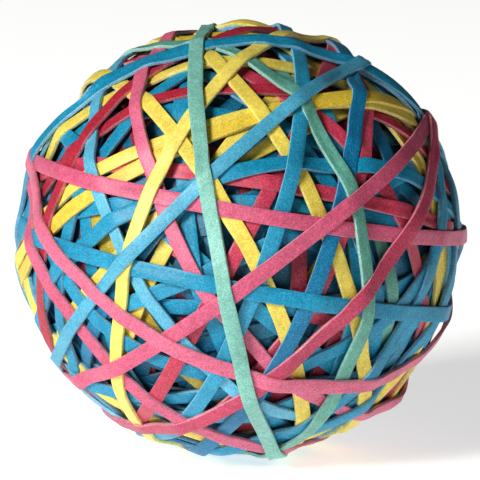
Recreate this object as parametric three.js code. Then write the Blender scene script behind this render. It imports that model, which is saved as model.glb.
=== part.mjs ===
// A rubber band ball: coloured bands stretched one over another round a packed ball of
// earlier bands.
//
// Millimetres, +Z up, front towards -Y. The origin is the middle of the ball.
// Every band is a taut closed loop. It is wound in table order, so each one goes over
// whatever lies under it at that moment, and bridges the hollows between the crests.

import * as THREE from "three";

// Driving dimensions. The shell is what the bands below build up round the packed ball,
// which is a little lower than it is wide.
const BALL_DIAMETER = 80;
const SHELL_DEPTH = 9.4;
const PACKED_HEIGHT_SHARE = 0.96;
const BAND_THICKNESS = 0.65;
const AIR_GAP = 0.15;

// How finely the packed ball and each loop are faceted.
const INNER_BALL_DETAIL = 5;
const STRETCHES_PER_TURN = 26;

const INNER_BALL_RADIUS = BALL_DIAMETER / 2 - SHELL_DEPTH;
const MEAN_BAND_RADIUS = BALL_DIAMETER / 2 - SHELL_DEPTH / 2;
const LEVEL_EDGE = 1e-9;

// The table below is set out for a viewer who stands in front and looks down by this angle.
const VIEWER_RISE = 10;

const RUBBER = {
  blue: { color: 0x2d96c8, roughness: 0.62 },
  sky: { color: 0x78c3e6, roughness: 0.62 },
  pink: { color: 0xf0789f, roughness: 0.6 },
  red: { color: 0xe1415f, roughness: 0.6 },
  yellow: { color: 0xf4d850, roughness: 0.62 },
  mint: { color: 0x96d7be, roughness: 0.6 },
  packed: { color: 0x17506e, roughness: 0.7 },
};

// The bands in winding order, the innermost first. A loop lies in a plane:
//   lean    degrees anticlockwise from the viewer's right to the way that the plane faces
//   tilt    degrees by which that direction then turns towards the viewer
//   offset  millimetres from the middle of the ball to the plane, that way
//   width   millimetres of rubber across the loop
const BANDS = [
  // colour, lean, tilt, offset, width
  ["blue", 90, 62, 2, 2.7],
  ["yellow", 5, -78, -3, 2.6],
  ["pink", 48, -70, 2, 2.6],
  ["blue", -50, 75, 4, 2.7],
  ["blue", 75, -30, 3, 2.7],
  ["blue", 10, 40, -3, 2.6],
  ["blue", -5, -38, 5, 2.7],
  ["red", 62, 20, 6, 2.4],
  ["blue", 90, 18, 0, 2.6],
  ["yellow", -31, 16, 0, 2.6],
  ["blue", 50, 4, -4, 2.7],
  ["mint", 20, -38, 1, 2.4],
  ["blue", -65, -4, 0, 2.6],
  ["blue", 12, 22, 6, 2.7],
  ["blue", 88, -14, -2, 2.4],
  ["yellow", -54, 18, 0, 2.6],
  ["blue", -45, 19, 1, 2.6],
  ["blue", 5, -28, 3, 2.6],
  ["blue", 30, -40, -6, 2.7],
  ["blue", 70, 48, 5, 2.6],
  ["blue", 65, 60, -6, 2.7],
  ["sky", -30, -58, 4, 2.6],
  ["blue", -72, -56, -1, 2.7],
  ["yellow", 62, 55, -9, 2.4],
  ["blue", -32, 48, 0, 2.6],
  ["red", 42, -40, 1.5, 2.4],
  ["yellow", 36, -55, 5, 2.6],
  ["blue", 5, -70, 2, 2.7],
  ["yellow", 10, -60, 4, 2.6],
  ["yellow", -88, 52, -3, 2.6],
  ["blue", -66, -38, 2, 2.6],
  ["red", -84, 45, 0, 2.3],
  ["red", -27, -25, 0, 2.3],
  ["red", -28, -3, -1, 2.6],
  ["red", 82, -8, 5.5, 2.6],
  ["yellow", -73, 24, -6, 2.3],
  ["yellow", -68, 20, -6.5, 2.6],
  ["sky", 34, 33, 3, 2.3],
  ["yellow", 25, -18, 3, 2.6],
  ["blue", -75, 30, 8, 2.6],
  ["yellow", 28, -16, -9, 2.6],
  ["red", -32, 45, -7, 2.4],
  ["pink", 30, 25, 7.5, 2.4],
  ["blue", -50, -62, 4, 2.7],
  ["blue", -79, 62, -4, 2.7],
  ["blue", -36, -48, 6, 2.6],
  ["blue", -20, -17, 4, 2.6],
  ["blue", -18, -15, -4, 2.6],
  ["blue", 79, 5, -4.5, 2.7],
  ["pink", 45, 35, -12, 2.6],
  ["pink", 80, 5, 8, 2.6],
  ["mint", 14, -44, -7.5, 2.4],
  ["yellow", -21, 27, 0.5, 2.4],
  ["blue", -79, 52, -8, 2.6],
  ["sky", -46, 8, -6, 2.3],
  ["pink", -54, -7.5, 2, 2.6],
  ["pink", -46, -24, 7, 2.6],
  ["pink", 65, 35, 1, 2.6],
  ["mint", 10, 7, 1, 2.6],
];

/** The unit vector that a loop's plane faces, from its two table angles. */
function facing(lean, tilt) {
  const leanAngle = THREE.MathUtils.degToRad(lean);
  const tiltAngle = THREE.MathUtils.degToRad(tilt);
  const across = Math.cos(tiltAngle);
  const direction = new THREE.Vector3(
    across * Math.cos(leanAngle),
    -Math.sin(tiltAngle),
    across * Math.sin(leanAngle),
  );
  const rise = THREE.MathUtils.degToRad(VIEWER_RISE);
  return direction.applyAxisAngle(new THREE.Vector3(1, 0, 0), -rise);
}

/** The turn that lays a loop drawn in the XY plane into the plane of its band. */
function layInPlane(direction) {
  return new THREE.Quaternion().setFromUnitVectors(new THREE.Vector3(0, 0, 1), direction);
}

/** How a loop narrows along its own axis, so that it lies flat on a ball off the middle. */
function taperPerMillimetre(offset) {
  return -offset / (MEAN_BAND_RADIUS ** 2 - offset ** 2);
}

/** Every edge of a solid, as pairs of points in the ball's own frame. */
function edgesOf(mesh) {
  mesh.updateMatrixWorld(true);
  const positions = mesh.geometry.getAttribute("position");
  const corners = [];
  for (let i = 0; i < positions.count; i += 1) {
    const corner = new THREE.Vector3().fromBufferAttribute(positions, i);
    corners.push(corner.applyMatrix4(mesh.matrixWorld));
  }
  const edges = [];
  for (let i = 0; i < corners.length; i += 3) {
    edges.push([corners[i], corners[i + 1]]);
    edges.push([corners[i + 1], corners[i + 2]]);
    edges.push([corners[i + 2], corners[i]]);
  }
  return edges;
}

/** The ends of an edge's stretch between two levels of z, or nothing if it stays outside. */
function clipToSlab(start, end, half) {
  const climb = end.z - start.z;
  if (Math.abs(climb) < LEVEL_EDGE) {
    return Math.abs(start.z) <= half ? [start, end] : [];
  }
  const low = (-half - start.z) / climb;
  const high = (half - start.z) / climb;
  const from = Math.max(0, Math.min(low, high));
  const to = Math.min(1, Math.max(low, high));
  if (from > to) {
    return [];
  }
  return [start.clone().lerp(end, from), start.clone().lerp(end, to)];
}

/** How far out, in each direction round the loop, the rubber under a band reaches. */
function reachUnder(edges, turn, offset, width, taper) {
  const toLoop = turn.clone().invert();
  const reach = new Array(STRETCHES_PER_TURN).fill(0);
  const start = new THREE.Vector3();
  const end = new THREE.Vector3();
  for (const [from, to] of edges) {
    start.copy(from).applyQuaternion(toLoop);
    end.copy(to).applyQuaternion(toLoop);
    start.z -= offset;
    end.z -= offset;
    for (const point of clipToSlab(start, end, width / 2 + AIR_GAP)) {
      const narrowing = 1 + taper * point.z;
      for (let k = 0; k < STRETCHES_PER_TURN; k += 1) {
        const angle = (k * 2 * Math.PI) / STRETCHES_PER_TURN;
        const out = (point.x * Math.cos(angle) + point.y * Math.sin(angle)) / narrowing;
        reach[k] = Math.max(reach[k], out);
      }
    }
  }
  return reach;
}

/** The corners of the loop whose straight stretches stand at the given distances out. */
function loopCorners(distances) {
  const step = (2 * Math.PI) / STRETCHES_PER_TURN;
  return distances.map((distance, k) => {
    const next = distances[(k + 1) % STRETCHES_PER_TURN];
    const along = (next - distance * Math.cos(step)) / Math.sin(step);
    const angle = k * step;
    return new THREE.Vector2(
      distance * Math.cos(angle) - along * Math.sin(angle),
      distance * Math.sin(angle) + along * Math.cos(angle),
    );
  });
}

function rubber(colour) {
  return new THREE.MeshStandardMaterial({ ...RUBBER[colour], metalness: 0 });
}

function twoDigits(number) {
  return String(number).padStart(2, "0");
}

/** The ball of earlier bands, packed so tight that it is one body. */
function packedInnerBands() {
  const geometry = new THREE.IcosahedronGeometry(INNER_BALL_RADIUS, INNER_BALL_DETAIL);
  geometry.scale(1, 1, PACKED_HEIGHT_SHARE);
  geometry.computeVertexNormals();
  const mesh = new THREE.Mesh(geometry, rubber("packed"));
  mesh.name = "packed_inner_bands";
  return mesh;
}

/** One band, wound over every edge that lies under it. */
function windBand([colour, lean, tilt, offset, width], number, edges) {
  const direction = facing(lean, tilt);
  const turn = layInPlane(direction);
  const taper = taperPerMillimetre(offset);
  const reach = reachUnder(edges, turn, offset, width, taper);
  const inside = reach.map((distance) => distance + AIR_GAP);
  const outside = inside.map((distance) => distance + BAND_THICKNESS);
  const section = new THREE.Shape(loopCorners(outside));
  section.holes.push(new THREE.Path(loopCorners(inside)));
  const geometry = new THREE.ExtrudeGeometry(section, { depth: width, bevelEnabled: false });
  geometry.translate(0, 0, -width / 2);
  const positions = geometry.getAttribute("position");
  for (let i = 0; i < positions.count; i += 1) {
    const narrowing = 1 + taper * positions.getZ(i);
    positions.setXY(i, positions.getX(i) * narrowing, positions.getY(i) * narrowing);
  }
  geometry.computeVertexNormals();
  const mesh = new THREE.Mesh(geometry, rubber(colour));
  mesh.name = `${colour}_band_${twoDigits(number)}`;
  mesh.quaternion.copy(turn);
  mesh.position.copy(direction).multiplyScalar(offset);
  return mesh;
}

/** The whole ball: the packed ball, then each band over all that came before it. */
function rubberBandBall() {
  const ball = new THREE.Group();
  ball.name = "rubber_band_ball";
  const inner = packedInnerBands();
  ball.add(inner);
  const edges = edgesOf(inner);
  BANDS.forEach((band, index) => {
    const mesh = windBand(band, index + 1, edges);
    edges.push(...edgesOf(mesh));
    ball.add(mesh);
  });
  const middle = new THREE.Box3().setFromObject(ball, true).getCenter(new THREE.Vector3());
  ball.position.sub(middle);
  return ball;
}

const group = rubberBandBall();

export default group;
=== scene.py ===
import math
import re

import bpy
import numpy as np
from mathutils import Matrix, Vector


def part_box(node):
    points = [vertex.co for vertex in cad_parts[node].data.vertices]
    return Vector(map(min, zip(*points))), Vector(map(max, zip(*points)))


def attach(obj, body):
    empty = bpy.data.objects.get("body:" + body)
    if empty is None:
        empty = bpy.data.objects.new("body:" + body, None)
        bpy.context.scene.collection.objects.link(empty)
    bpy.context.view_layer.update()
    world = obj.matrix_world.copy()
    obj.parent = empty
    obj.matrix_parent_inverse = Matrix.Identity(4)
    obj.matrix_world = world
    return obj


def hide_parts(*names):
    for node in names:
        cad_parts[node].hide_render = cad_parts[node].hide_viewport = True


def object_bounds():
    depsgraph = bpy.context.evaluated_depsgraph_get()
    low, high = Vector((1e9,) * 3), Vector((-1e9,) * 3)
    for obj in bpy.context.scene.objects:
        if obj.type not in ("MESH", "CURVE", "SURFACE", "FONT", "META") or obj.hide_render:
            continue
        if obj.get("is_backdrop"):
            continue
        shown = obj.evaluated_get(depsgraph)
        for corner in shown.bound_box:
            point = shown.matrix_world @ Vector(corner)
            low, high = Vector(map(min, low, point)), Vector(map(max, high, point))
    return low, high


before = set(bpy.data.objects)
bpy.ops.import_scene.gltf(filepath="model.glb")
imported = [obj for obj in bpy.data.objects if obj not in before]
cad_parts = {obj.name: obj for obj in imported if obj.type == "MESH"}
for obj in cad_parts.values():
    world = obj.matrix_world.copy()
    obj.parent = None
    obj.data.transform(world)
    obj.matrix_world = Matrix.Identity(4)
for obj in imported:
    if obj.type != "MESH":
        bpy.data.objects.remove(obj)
CAD_BOX = np.array(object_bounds())
INNER_NODE = "packed_inner_bands"
INNER_BOX = np.array(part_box(INNER_NODE))
MIDDLE = INNER_BOX.mean(0)

bl_info = {
    "name": "Rubber Band Ball",
    "version": (1, 0, 0),
    "blender": (4, 5, 0),
    "location": "3D Viewport > Sidebar > Band Ball",
    "description": "Winds coloured rubber bands round a packed ball and sets a plain stage",
    "category": "Add Mesh",
}

MM = 0.001
SEED = 11
BALL_BODY = "root"
BAND_NAME = re.compile(r"^([a-z]+)_band_(\d+)$")


# ---------------------------------------------------------------- what a user would change


class BandSizes(bpy.types.PropertyGroup):
    thickness: bpy.props.FloatProperty(
        name="Thickness",
        description="Thickness of a stretched band",
        default=0.66 * MM,
        min=0.2 * MM,
        unit="LENGTH",
    )
    clearance: bpy.props.FloatProperty(
        name="Clearance",
        description="Air left under a band where it crosses another",
        default=0.03 * MM,
        min=0.0,
        unit="LENGTH",
    )
    edge_radius: bpy.props.FloatProperty(
        name="Edge radius",
        description="How far the cut edges of a band are rounded",
        default=0.1 * MM,
        min=0.0,
        unit="LENGTH",
    )
    free_span: bpy.props.FloatProperty(
        name="Free span",
        description="Gap that a band bridges before it starts to settle towards those below",
        default=0.45 * MM,
        min=0.0,
        unit="LENGTH",
    )
    wander: bpy.props.FloatProperty(
        name="Wander",
        description="How far a band strays sideways from a flat loop",
        default=0.35 * MM,
        min=0.0,
        unit="LENGTH",
    )
    stations: bpy.props.IntProperty(
        name="Stations",
        description="Steps round one turn of an outer band",
        default=300,
        min=60,
    )
    inner_stations: bpy.props.IntProperty(
        name="Inner stations",
        description="Steps round one turn of an inner band",
        default=120,
        min=40,
    )
    inner_bands: bpy.props.IntProperty(
        name="Inner bands",
        description="Bands modelled on the surface of the packed ball",
        default=100,
        min=1,
    )
    loose_depth: bpy.props.FloatProperty(
        name="Loose depth",
        description="Depth of the outer layers, which lie on one another unpressed",
        default=3.0 * MM,
        min=0.0,
        unit="LENGTH",
    )
    crest_height: bpy.props.FloatProperty(
        name="Crest height",
        description="How far the crests of the ball stand above its mean surface",
        default=1.6 * MM,
        unit="LENGTH",
    )
    pressed_share: bpy.props.FloatProperty(
        name="Pressed share",
        description="How much of their height the layers below the loose ones keep",
        default=0.5,
        min=0.1,
        max=1.0,
        subtype="FACTOR",
    )


class RubberColours(bpy.types.PropertyGroup):
    blue: bpy.props.FloatVectorProperty(
        name="Blue",
        description="Colour of the blue bands",
        subtype="COLOR",
        default=(0.004, 0.3, 0.49),
    )
    # Partly painted highlight: the sky bands are the blue rubber made lighter, partly their
    # own lighter tone and partly the key light's broad highlight painted into their colour.
    sky: bpy.props.FloatVectorProperty(
        name="Sky",
        description="Colour of the light blue bands",
        subtype="COLOR",
        default=(0.09, 0.42, 0.6),
    )
    pink: bpy.props.FloatVectorProperty(
        name="Pink",
        description="Colour of the pink bands",
        subtype="COLOR",
        default=(0.66, 0.12, 0.22),
    )
    red: bpy.props.FloatVectorProperty(
        name="Red",
        description="Colour of the deep pink bands",
        subtype="COLOR",
        default=(0.58, 0.055, 0.11),
    )
    yellow: bpy.props.FloatVectorProperty(
        name="Yellow",
        description="Colour of the yellow bands",
        subtype="COLOR",
        default=(0.88, 0.69, 0.12),
    )
    mint: bpy.props.FloatVectorProperty(
        name="Mint",
        description="Colour of the pale green bands",
        subtype="COLOR",
        default=(0.24, 0.55, 0.46),
    )


class StageSettings(bpy.types.PropertyGroup):
    viewer_rise: bpy.props.FloatProperty(
        name="Viewer rise",
        description="How far above level the camera looks from",
        default=math.radians(10),
        subtype="ANGLE",
    )
    viewer_distance: bpy.props.FloatProperty(
        name="Viewer distance",
        description="Distance from the camera to the middle of the ball",
        default=0.7,
        unit="LENGTH",
    )
    ball_share: bpy.props.FloatProperty(
        name="Ball share",
        description="Share of the picture's width that the ball fills",
        default=0.95,
        subtype="FACTOR",
    )
    key_power: bpy.props.FloatProperty(
        name="Key power",
        description="Power of the key light, in watts",
        default=84.0,
        min=0.0,
    )
    key_size: bpy.props.FloatProperty(
        name="Key size",
        description="Length of each side of the key light",
        default=1.0,
        unit="LENGTH",
    )
    room_light: bpy.props.FloatProperty(
        name="Room light",
        description="Strength of the light that comes from all round",
        default=0.03,
        min=0.0,
    )
    floor_glow: bpy.props.FloatProperty(
        name="Floor glow",
        description="Light that the floor gives off, so that it stays near white",
        default=0.54,
        min=0.0,
    )
    floor_size: bpy.props.FloatProperty(
        name="Floor size",
        description="Length of each side of the floor",
        default=8.0,
        unit="LENGTH",
    )


def sizes():
    return bpy.context.scene.band_sizes


def colours():
    return bpy.context.scene.rubber_colours


def stage_settings():
    return bpy.context.scene.band_stage


# ---------------------------------------------------------------- the loops of the frame


def ball_radius():
    return float((CAD_BOX[1] - CAD_BOX[0]).max()) / 2


class Loop:
    """A band's flat loop: the way it faces, its distance out that way, and its width."""

    def __init__(self, direction, offset, width):
        self.normal = direction / np.linalg.norm(direction)
        self.offset = offset
        self.width = width
        helper = np.eye(3)[np.argmin(np.abs(self.normal))]
        self.across = np.cross(self.normal, helper)
        self.across /= np.linalg.norm(self.across)
        self.along = np.cross(self.normal, self.across)
        # Set as the loop is wound: how far it strays from its plane at each station, and how
        # far out each of its threads' outer face stands there.
        self.stray = None
        self.outer = None


def corners_of(node):
    """The corners of a CAD node's mesh, one row each."""
    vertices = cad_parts[node].data.vertices
    flat = np.zeros(len(vertices) * 3, np.float32)
    vertices.foreach_get("co", flat)
    return flat.reshape(-1, 3).astype(float)


def loop_of(node):
    """The loop that a band's CAD node lies in."""
    corners = corners_of(node) - MIDDLE
    direction = np.linalg.svd(corners - corners.mean(0), full_matrices=False)[2][2]
    distances = corners @ direction
    low, high = distances.min(), distances.max()
    return Loop(direction, (low + high) / 2, high - low)


def bands_in_winding_order():
    """The CAD's band nodes, the innermost first, as (node, colour name)."""
    found = []
    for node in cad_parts:
        match = BAND_NAME.match(node)
        if match:
            found.append((int(match.group(2)), node, match.group(1)))
    return [(node, colour) for _, node, colour in sorted(found)]


# ---------------------------------------------------------------- winding


# Lines round a band, from cut side to cut side, that are pulled taut one by one.
THREADS = 5
# How many waves of sideways wander a turn has, from the slowest to the fastest.
WANDER_WAVES = (2, 5)
# The ground under a band is softened, one pass for this many stations, to find its hollows.
STATIONS_PER_PASS = 5
# How much of the gap past the free span a band gives up as it settles, and how many passes
# soften it afterwards. The softening can let it dip a little into a crest below.
SETTLED_SHARE = 0.75
SETTLED_PASSES = 4
# How far the threads of a band even out into a flat section.
EVENED_SHARE = 0.3


def wave(angles, draw, amount, slowest, fastest):
    """A smooth closed wave round a loop, made of a few random harmonics."""
    total = np.zeros_like(angles)
    for turns in range(slowest, fastest + 1):
        strength, phase = draw.normal(), draw.uniform(0, 2 * math.pi)
        total += strength / turns * np.cos(turns * angles + phase)
    return amount * total


def station_angles(count):
    return np.arange(count) * 2 * math.pi / count


def sides_of(loop, threads):
    """How far each of a band's threads lies to the side of its plane, at each station."""
    return loop.stray[:, None] + np.linspace(-0.5, 0.5, threads) * loop.width


def directions_on(loop, angles, sideways, radius):
    """Unit directions from the ball's middle to the points of a loop's threads."""
    level = loop.offset + sideways
    flat = np.sqrt(radius**2 - level**2)
    spokes = np.cos(angles)[:, None] * loop.across + np.sin(angles)[:, None] * loop.along
    points = flat[..., None] * spokes[:, None, :] + level[..., None] * loop.normal
    return points / radius


def reach_of(loop, directions):
    """How far out a wound loop stands in each direction, and minus one where it isn't."""
    turn = np.arctan2(directions @ loop.along, directions @ loop.across)
    count = len(loop.outer)
    place = turn / (2 * math.pi) * count % count
    before = place.astype(int) % count
    after = (before + 1) % count
    share = place - place.astype(int)
    middle = loop.outer[before, THREADS // 2]
    sideways = (directions @ loop.normal) * middle - loop.offset
    stray = loop.stray[before] * (1 - share) + loop.stray[after] * share
    thread = ((sideways - stray) / loop.width + 0.5) * (THREADS - 1)
    inside = (thread >= 0) & (thread <= THREADS - 1)
    lower = np.clip(thread.astype(int), 0, THREADS - 2)
    part = np.clip(thread - lower, 0, 1)
    near = loop.outer[before, lower] * (1 - part) + loop.outer[before, lower + 1] * part
    far = loop.outer[after, lower] * (1 - part) + loop.outer[after, lower + 1] * part
    return np.where(inside, near * (1 - share) + far * share, -1.0)


def taut(angles, radii):
    """The radii of a string pulled tight round a loop's points."""
    count = len(radii)
    first = int(np.argmax(radii))
    order = [(first + k) % count for k in range(count)] + [first]
    x = radii * np.cos(angles)
    y = radii * np.sin(angles)
    hull = []
    for k in order:
        while len(hull) > 1:
            a, b = hull[-2], hull[-1]
            turn = (x[b] - x[a]) * (y[k] - y[a]) - (y[b] - y[a]) * (x[k] - x[a])
            if turn > 0:
                break
            hull.pop()
        hull.append(k)
    result = radii.copy()
    for a, b in zip(hull[:-1], hull[1:]):
        span = (b - a) % count
        between = (a + np.arange(1, span)) % count
        run_x, run_y = x[b] - x[a], y[b] - y[a]
        facing = np.cos(angles[between]) * run_y - np.sin(angles[between]) * run_x
        result[between] = (x[a] * run_y - y[a] * run_x) / facing
    return result


def smoothed(values, passes):
    """Values round a loop, each one softened with its neighbours."""
    for _ in range(passes):
        values = (np.roll(values, 1, 0) + 2 * values + np.roll(values, -1, 0)) / 4
    return values


def ellipsoid_radii(box, directions):
    """How far the ellipsoid that fills a box reaches from its middle in each direction."""
    half = (box[1] - box[0]) / 2
    return 1 / np.linalg.norm(directions / half, axis=-1)


def surface_radii(directions):
    """How far the finished ball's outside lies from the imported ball's middle."""
    return ellipsoid_radii(CAD_BOX, directions) + directions @ (CAD_BOX.mean(0) - MIDDLE)


def wind(loop, under, draw):
    """Pulls a loop tight over the loops wound before it, and keeps its outer face's radii."""
    size = sizes()
    angles = station_angles(size.stations)
    loop.stray = wave(angles, draw, size.wander, *WANDER_WAVES)
    sideways = sides_of(loop, THREADS)
    level = loop.offset + sideways
    directions = directions_on(loop, angles, sideways, ball_radius())
    reach = ellipsoid_radii(INNER_BOX, directions)
    for other in under:
        reach = np.maximum(reach, reach_of(other, directions))
    flat = np.sqrt(reach**2 - level**2)
    ground = flat.copy()
    for thread in range(THREADS):
        flat[:, thread] = taut(angles, flat[:, thread])
    gap = flat - smoothed(ground, size.stations // STATIONS_PER_PASS)
    flat = np.maximum(flat - SETTLED_SHARE * np.maximum(gap - size.free_span, 0), ground)
    flat = smoothed(flat, SETTLED_PASSES)
    evened = flat.mean(1, keepdims=True)
    flat = (1 - EVENED_SHARE) * flat + EVENED_SHARE * evened
    loop.outer = np.sqrt(flat**2 + level**2) + size.clearance + size.thickness


# An odd and an even degree together hold every slower pattern too.
BROAD_DEGREES = (9, 10)
BROAD_POWERS = [
    (i, j, n - i - j) for n in BROAD_DEGREES for i in range(n + 1) for j in range(n + 1 - i)
]


def broad_patterns(directions):
    """The slowly varying patterns that the broad shape of the ball is made of."""
    x, y, z = directions.reshape(-1, 3).T
    return np.stack([x**i * y**j * z**k for i, j, k in BROAD_POWERS], 1)


SHAPE_SAMPLES = 8000


def spread_directions(count):
    """Directions spread evenly over the ball, on a spiral from pole to pole."""
    height = 1 - 2 * (np.arange(count) + 0.5) / count
    turn = np.arange(count) * math.pi * (3 - math.sqrt(5))
    flat = np.sqrt(1 - height**2)
    return np.stack((flat * np.cos(turn), flat * np.sin(turn), height), 1)


class BallShape:
    """The broad shape of the loosely wound ball, and how it is pressed round and tight."""

    def __init__(self, loops):
        directions = spread_directions(SHAPE_SAMPLES)
        top = ellipsoid_radii(INNER_BOX, directions)
        for loop in loops:
            top = np.maximum(top, reach_of(loop, directions))
        self.fit = np.linalg.lstsq(broad_patterns(directions), top, rcond=None)[0]

    def pressed(self, radii, directions):
        """Radii of the layers once the ball is evened out and its depths pressed together.

        Bands keep their thickness, so the pressed layers run into one another.
        """
        size = sizes()
        broad = (broad_patterns(directions) @ self.fit).reshape(radii.shape)
        depth = broad + size.crest_height - radii
        deep = np.maximum(depth - size.loose_depth, 0)
        pressed_depth = np.minimum(depth, size.loose_depth) + deep * size.pressed_share
        return surface_radii(directions) - pressed_depth


def packed_surface(directions):
    """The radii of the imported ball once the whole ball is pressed."""
    return ball_shape().pressed(ellipsoid_radii(INNER_BOX, directions), directions)


# ---------------------------------------------------------------- modelling


CUT_SIDE_INDEX = 1
BEVEL_SEGMENTS = 2
BEVEL_FROM_ANGLE = math.radians(60)
SMOOTH_UP_TO_ANGLE = math.radians(40)


def only(piece):
    """Makes a piece the one that is selected and active."""
    bpy.ops.object.select_all(action="DESELECT")
    piece.select_set(True)
    bpy.context.view_layer.objects.active = piece


def open_tube(name, radius, width, stations, threads):
    """A short open tube with its wall split into threads, standing at the ball's middle."""
    bpy.ops.object.select_all(action="DESELECT")
    bpy.ops.mesh.primitive_cylinder_add(
        vertices=stations, radius=radius, depth=width, end_fill_type="NOTHING"
    )
    tube = bpy.context.object
    tube.name = name
    tube.data.name = name
    bpy.ops.object.mode_set(mode="EDIT")
    bpy.ops.mesh.select_mode(type="EDGE")
    bpy.ops.mesh.select_all(action="DESELECT")
    bpy.ops.object.mode_set(mode="OBJECT")
    heights = [vertex.co.z for vertex in tube.data.vertices]
    for edge in tube.data.edges:
        a, b = edge.vertices
        edge.select = abs(heights[a] - heights[b]) > width / 2
    bpy.ops.object.mode_set(mode="EDIT")
    bpy.ops.mesh.subdivide(number_cuts=threads - 2)
    bpy.ops.object.mode_set(mode="OBJECT")
    return tube


def lay_on_loop(tube, loop, inner):
    """Moves each corner of an open tube to its place on the wound loop's inner face."""
    stations, threads = inner.shape
    count = len(tube.data.vertices)
    flat = np.zeros(count * 3, np.float32)
    tube.data.vertices.foreach_get("co", flat)
    local = flat.reshape(-1, 3).astype(float)
    turn = np.arctan2(local[:, 1], local[:, 0]) / (2 * math.pi) * stations
    station = np.rint(turn).astype(int) % stations
    thread = np.rint((local[:, 2] / loop.width + 0.5) * (threads - 1)).astype(int)
    angle = station * 2 * math.pi / stations
    level = loop.offset + loop.stray[station] + (thread / (threads - 1) - 0.5) * loop.width
    out = np.sqrt(inner[station, thread] ** 2 - level**2)
    places = (
        (out * np.cos(angle))[:, None] * loop.across
        + (out * np.sin(angle))[:, None] * loop.along
        + level[:, None] * loop.normal
        + MIDDLE
    )
    tube.data.vertices.foreach_set("co", places.astype(np.float32).ravel())
    tube.data.update()


def flip_if_inwards(piece):
    """Turns an open strip's faces away from the middle of the ball."""
    polygon = piece.data.polygons[0]
    if polygon.normal.dot(polygon.center) < 0:
        only(piece)
        bpy.ops.object.mode_set(mode="EDIT")
        bpy.ops.mesh.select_all(action="SELECT")
        bpy.ops.mesh.flip_normals()
        bpy.ops.object.mode_set(mode="OBJECT")


def thicken(piece, thickness):
    """Gives a strip its thickness, outwards, with its cut sides in their own material."""
    only(piece)
    wall = piece.modifiers.new("wall", "SOLIDIFY")
    wall.thickness = thickness
    wall.offset = 1.0
    wall.use_rim = True
    wall.material_offset_rim = CUT_SIDE_INDEX
    bpy.ops.object.modifier_apply(modifier=wall.name)


def round_cut_edges(piece, radius):
    only(piece)
    edge = piece.modifiers.new("cut edges", "BEVEL")
    edge.width = radius
    edge.segments = BEVEL_SEGMENTS
    edge.limit_method = "ANGLE"
    edge.angle_limit = BEVEL_FROM_ANGLE
    edge.use_clamp_overlap = True
    bpy.ops.object.modifier_apply(modifier=edge.name)


def shade_smooth(piece):
    only(piece)
    bpy.ops.object.shade_smooth_by_angle(angle=SMOOTH_UP_TO_ANGLE)


# ---------------------------------------------------------------- rubber


# Each noise's scale, detail and roughness.
GRAIN_NOISE = (4200, 3, 0.65)
DUST_NOISE = (800, 4, 0.7)
TONE_NOISE = (110, 2, 0.5)

# Where in the grain the dark specks, the plain rubber and the pale flecks stand.
GRAIN_DARK, GRAIN_PLAIN, GRAIN_PALE = 0.34, 0.5, 0.66
SPECK_DARKNESS = 0.5
FLECK_GAIN = 1.17
FLECK_LIFT = 0.055

# Each noise's place and brightness at the two ends of its ramp.
DUST_RAMP = ((0.35, 0.86), (0.65, 1.07))
TONE_RAMP = ((0.3, 0.9), (0.7, 1.06))

BUMP_STRENGTH = 0.3
BUMP_HEIGHT = 0.05 * MM
FINISH = {
    "Roughness": 0.46,
    "Specular IOR Level": 0.52,
    "Sheen Weight": 0.03,
    "Sheen Roughness": 0.4,
}
CUT_SIDE_PALENESS = 0.2

# Each shade's depth of tone, strength and paleness. Plain, deep and pale are tones that the
# outer bands differ in; the shades of the inner bands and of the core are painted shade.
SHADES = {
    "plain": (1.0, 1.0, 0.0),
    "deep": (1.3, 0.95, 0.0),
    "pale": (0.96, 1.05, 0.02),
    # Painted shade: the inner bands darkened, as if shaded by the bands over them.
    "buried": (1.15, 0.62, 0.0),
    # Painted shade: the core made near black, standing in for the deep shadow in the cracks
    # between the inner bands.
    "core": (1.1, 0.12, 0.0),
}

# The shades that the outer bands take in turn.
OUTER_SHADES = ("plain", "plain", "deep", "pale", "plain")


def grey(value):
    return (value, value, value)


def node_of(tree, kind, **values):
    node = tree.nodes.new(kind)
    for name, value in values.items():
        setattr(node, name, value)
    return node


def noise_on(tree, place, scale, detail, roughness):
    noise = node_of(tree, "ShaderNodeTexNoise")
    noise.inputs["Scale"].default_value = scale
    noise.inputs["Detail"].default_value = detail
    noise.inputs["Roughness"].default_value = roughness
    tree.links.new(place.outputs["Object"], noise.inputs["Vector"])
    return noise


def ramp_of(tree, noise, stops):
    """A colour ramp over a noise, from (position, colour) stops, the two ends first."""
    ramp = node_of(tree, "ShaderNodeValToRGB")
    for (position, colour), element in zip(stops, ramp.color_ramp.elements):
        element.position = position
        element.color = (*colour, 1)
    for position, colour in stops[2:]:
        ramp.color_ramp.elements.new(position).color = (*colour, 1)
    tree.links.new(noise.outputs["Fac"], ramp.inputs["Fac"])
    return ramp


def tone_and_painted_shade(colour, shade):
    """A colour given one shade's depth of tone, strength and paleness: the bands' own tone,
    and painted shade for the inner bands and the core.
    """
    depth, strength, paleness = shade
    return np.array(colour) ** depth * strength * (1 - paleness) + paleness


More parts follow.
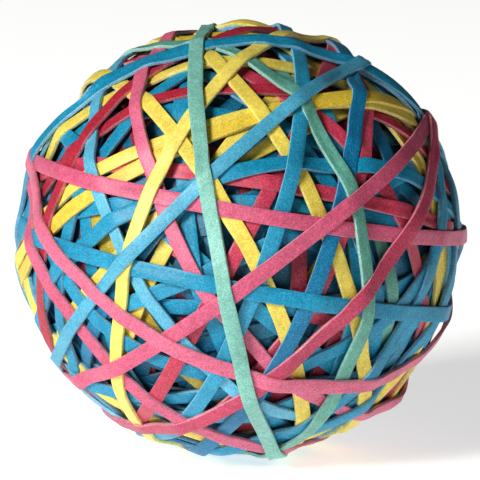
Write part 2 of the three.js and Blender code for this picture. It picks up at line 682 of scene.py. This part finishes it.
def rubber_material(title, base):
    """Matte, lightly dusted rubber of one colour."""
    material = bpy.data.materials.new(title)
    material.use_nodes = True
    tree = material.node_tree
    shader = tree.nodes["Principled BSDF"]
    place = node_of(tree, "ShaderNodeTexCoord")
    dark_speck = base * (SPECK_DARKNESS + SPECK_DARKNESS * base.mean())
    pale_fleck = np.minimum(base * FLECK_GAIN + FLECK_LIFT, 1)
    grain = noise_on(tree, place, *GRAIN_NOISE)
    stops = [(GRAIN_DARK, dark_speck), (GRAIN_PALE, pale_fleck), (GRAIN_PLAIN, base)]
    made = ramp_of(tree, grain, stops).outputs["Color"]
    for noise, ends in ((DUST_NOISE, DUST_RAMP), (TONE_NOISE, TONE_RAMP)):
        stops = [(position, grey(value)) for position, value in ends]
        part = ramp_of(tree, noise_on(tree, place, *noise), stops)
        product = node_of(tree, "ShaderNodeMix", data_type="RGBA", blend_type="MULTIPLY")
        product.inputs["Factor"].default_value = 1.0
        tree.links.new(made, product.inputs["A"])
        tree.links.new(part.outputs["Color"], product.inputs["B"])
        made = product.outputs["Result"]
    tree.links.new(made, shader.inputs["Base Color"])
    bump = node_of(tree, "ShaderNodeBump")
    bump.inputs["Strength"].default_value = BUMP_STRENGTH
    bump.inputs["Distance"].default_value = BUMP_HEIGHT
    tree.links.new(grain.outputs["Fac"], bump.inputs["Height"])
    tree.links.new(bump.outputs["Normal"], shader.inputs["Normal"])
    for name, value in FINISH.items():
        shader.inputs[name].default_value = value
    return material


def rubber_pair(colour, shade):
    """The face and the cut side of one colour and shade, made once and shared."""
    made = []
    for part, paleness in (("face", 0.0), ("cut_side", CUT_SIDE_PALENESS)):
        name = f"{colour}_{shade}_{part}"
        material = bpy.data.materials.get(name)
        if material is None:
            base = tone_and_painted_shade(getattr(colours(), colour), SHADES[shade])
            material = rubber_material(name, base * (1 - paleness) + paleness)
        made.append(material)
    return made


# ---------------------------------------------------------------- pieces


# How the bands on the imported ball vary, and how deep the lowest of them and the core lie.
INNER_THREADS = 3
INNER_OFFSET_SPREAD = 2.5 * MM
INNER_WIDTHS = (2.5 * MM, 3.1 * MM)
INNER_WANDER = 0.5 * MM
INNER_RIPPLE = 0.25 * MM
RIPPLE_WAVES = (2, 9)
INNER_LAYER_DEPTH = 1.6 * MM
CORE_DEPTH = 2.4 * MM
CORE_SUBDIVISIONS = 5
INNER_MIX = ("blue",) * 13 + ("sky",) * 2 + ("red",) * 3 + ("yellow",)


def model_band(name, loop, outer, materials, edge_radius):
    """One closed band, from an open tube laid on its loop and then thickened."""
    size = sizes()
    inner = outer - size.thickness
    stations, threads = inner.shape
    piece = open_tube(name, float(inner.mean()), loop.width, stations, threads)
    lay_on_loop(piece, loop, inner)
    for material in materials:
        piece.data.materials.append(material)
    flip_if_inwards(piece)
    thicken(piece, size.thickness)
    if edge_radius > 0:
        round_cut_edges(piece, edge_radius)
    shade_smooth(piece)
    return piece


class BAND_OT_packed_inner_bands(bpy.types.Operator):
    """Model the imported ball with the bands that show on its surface"""

    bl_idname = "band_ball.packed_inner_bands"
    bl_label = "Packed inner bands"

    def execute(self, context):
        size = sizes()
        draw = np.random.default_rng(SEED)
        angles = station_angles(size.inner_stations)
        pieces = []
        for number in range(size.inner_bands):
            direction = draw.normal(size=3)
            offset = draw.normal() * INNER_OFFSET_SPREAD
            loop = Loop(direction, offset, draw.uniform(*INNER_WIDTHS))
            loop.stray = wave(angles, draw, INNER_WANDER, *WANDER_WAVES)
            sideways = sides_of(loop, INNER_THREADS)
            surface = packed_surface(directions_on(loop, angles, sideways, ball_radius()))
            ripple = wave(angles, draw, INNER_RIPPLE, *RIPPLE_WAVES)
            layer = 1 - number / size.inner_bands
            outer = surface - INNER_LAYER_DEPTH * layer + ripple[:, None]
            # Painted shade: the inner bands take a darkened shade, standing in for the shadow
            # of the layers over them.
            materials = rubber_pair(INNER_MIX[draw.integers(len(INNER_MIX))], "buried")
            piece = model_band(f"inner_{number}", loop, outer, materials, 0)
            pieces.append(piece)
        bpy.ops.object.select_all(action="DESELECT")
        lowest = float(packed_surface(spread_directions(SHAPE_SAMPLES)).min())
        bpy.ops.mesh.primitive_ico_sphere_add(
            subdivisions=CORE_SUBDIVISIONS, radius=lowest - CORE_DEPTH, location=MIDDLE
        )
        core = bpy.context.object
        bpy.ops.object.transform_apply(location=True, rotation=True, scale=True)
        # Painted shade: the core is painted near black, for the shadow deep between the inner
        # bands.
        core.data.materials.append(rubber_pair("blue", "core")[0])
        for piece in pieces:
            piece.select_set(True)
        bpy.ops.object.join()
        core.name = "wound_inner_bands"
        core.data.name = core.name
        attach(core, BALL_BODY)
        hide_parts(INNER_NODE)
        return {"FINISHED"}


# The wound loops and the ball's shape, worked out once when they are first asked for.
_wound = []
_shape = []


def ball_shape():
    if not _shape:
        _shape.append(BallShape([loop for _, _, loop in wound_loops()]))
    return _shape[0]


def wound_loops():
    """Every outer band wound in order, once, as (node, colour, loop)."""
    if not _wound:
        draw = np.random.default_rng(SEED + 1)
        done = []
        for node, colour in bands_in_winding_order():
            loop = loop_of(node)
            wind(loop, done, draw)
            done.append(loop)
            _wound.append((node, colour, loop))
    return _wound


class BAND_OT_outer_bands(bpy.types.Operator):
    """Wind the outer bands one over another and model each one"""

    bl_idname = "band_ball.outer_bands"
    bl_label = "Outer bands"

    def execute(self, context):
        size = sizes()
        for number, (node, colour, loop) in enumerate(wound_loops(), 1):
            angles = station_angles(size.stations)
            sideways = sides_of(loop, THREADS)
            directions = directions_on(loop, angles, sideways, ball_radius())
            outer = ball_shape().pressed(loop.outer, directions)
            materials = rubber_pair(colour, OUTER_SHADES[number % len(OUTER_SHADES)])
            piece = model_band(f"wound_{node}", loop, outer, materials, size.edge_radius)
            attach(piece, BALL_BODY)
            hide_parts(node)
        return {"FINISHED"}


# ---------------------------------------------------------------- stage


WHITE = (1, 1, 1, 1)
FLOOR_COLOUR = (0.9, 0.9, 0.9, 1)
FLOOR_ROUGHNESS = 0.9
KEY_TOWARDS = (-0.62, -0.64, 0.46)
KEY_DISTANCE = 3
KEY_COLOUR = (1.0, 0.99, 0.97)
NEAREST_VIEW = 0.01


def aim(obj, place, target):
    """Puts a light or a camera in its place, looking at a point."""
    direction = Vector(target) - Vector(place)
    turn = direction.to_track_quat("-Z", "Y").to_matrix().to_4x4()
    obj.matrix_world = Matrix.Translation(place) @ turn


def soft_light(name, place, target, side, power, colour):
    bpy.ops.object.light_add(type="AREA")
    light = bpy.context.object
    light.name = name
    light.data.shape = "SQUARE"
    light.data.size = side
    light.data.energy = power
    light.data.color = colour
    aim(light, place, target)


class BAND_OT_stage(bpy.types.Operator):
    """Set the pale floor, the soft light and the camera"""

    bl_idname = "band_ball.stage"
    bl_label = "Stage"

    def execute(self, context):
        setting = stage_settings()
        low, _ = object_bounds()
        middle = Vector(CAD_BOX.mean(0))
        bpy.ops.object.select_all(action="DESELECT")
        bpy.ops.mesh.primitive_plane_add(size=setting.floor_size, location=(0, 0, low[2]))
        floor = bpy.context.object
        floor.name = "floor"
        paint = bpy.data.materials.new("pale_floor")
        paint.use_nodes = True
        surface = paint.node_tree.nodes["Principled BSDF"]
        surface.inputs["Base Color"].default_value = FLOOR_COLOUR
        surface.inputs["Roughness"].default_value = FLOOR_ROUGHNESS
        surface.inputs["Emission Color"].default_value = WHITE
        surface.inputs["Emission Strength"].default_value = setting.floor_glow
        floor.data.materials.append(paint)
        floor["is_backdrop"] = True
        world = bpy.data.worlds.new("soft_room")
        world.use_nodes = True
        background = world.node_tree.nodes["Background"]
        background.inputs["Color"].default_value = WHITE
        background.inputs["Strength"].default_value = setting.room_light
        context.scene.world = world
        key = Vector(KEY_TOWARDS) * KEY_DISTANCE
        soft_light("key_light", key, middle, setting.key_size, setting.key_power, KEY_COLOUR)
        context.scene.view_settings.view_transform = "Standard"
        context.scene.view_settings.look = "Medium High Contrast"
        rise = setting.viewer_rise
        away = Vector((0, -math.cos(rise), math.sin(rise))) * setting.viewer_distance
        bpy.ops.object.camera_add()
        camera = bpy.context.object
        camera.name = "viewer"
        aim(camera, middle + away, middle)
        edge = math.tan(math.asin(ball_radius() / setting.viewer_distance))
        camera.data.angle = 2 * math.atan(edge / setting.ball_share)
        camera.data.clip_start = NEAREST_VIEW
        camera.data.dof.use_dof = False
        context.scene.camera = camera
        return {"FINISHED"}


class BAND_PT_panel(bpy.types.Panel):
    """Lists the steps that build the ball"""

    bl_idname = "BAND_PT_panel"
    bl_label = "Rubber Band Ball"
    bl_space_type = "VIEW_3D"
    bl_region_type = "UI"
    bl_category = "Band Ball"

    def draw(self, context):
        for operator in OPERATORS:
            self.layout.operator(operator.bl_idname)
        for group in (sizes(), colours(), stage_settings()):
            box = self.layout.box()
            for name in group.bl_rna.properties.keys():
                if name not in ("rna_type", "name"):
                    box.prop(group, name)


OPERATORS = (BAND_OT_packed_inner_bands, BAND_OT_outer_bands, BAND_OT_stage)
GROUPS = (BandSizes, RubberColours, StageSettings)


def register():
    for kind in (*GROUPS, *OPERATORS, BAND_PT_panel):
        bpy.utils.register_class(kind)
    bpy.types.Scene.band_sizes = bpy.props.PointerProperty(type=BandSizes)
    bpy.types.Scene.rubber_colours = bpy.props.PointerProperty(type=RubberColours)
    bpy.types.Scene.band_stage = bpy.props.PointerProperty(type=StageSettings)


def unregister():
    del bpy.types.Scene.band_stage
    del bpy.types.Scene.rubber_colours
    del bpy.types.Scene.band_sizes
    for kind in (BAND_PT_panel, *reversed(OPERATORS), *reversed(GROUPS)):
        bpy.utils.unregister_class(kind)


def main():
    register()
    bpy.ops.band_ball.packed_inner_bands()
    bpy.ops.band_ball.outer_bands()
    bpy.ops.band_ball.stage()


if __name__ == "__main__":
    main()
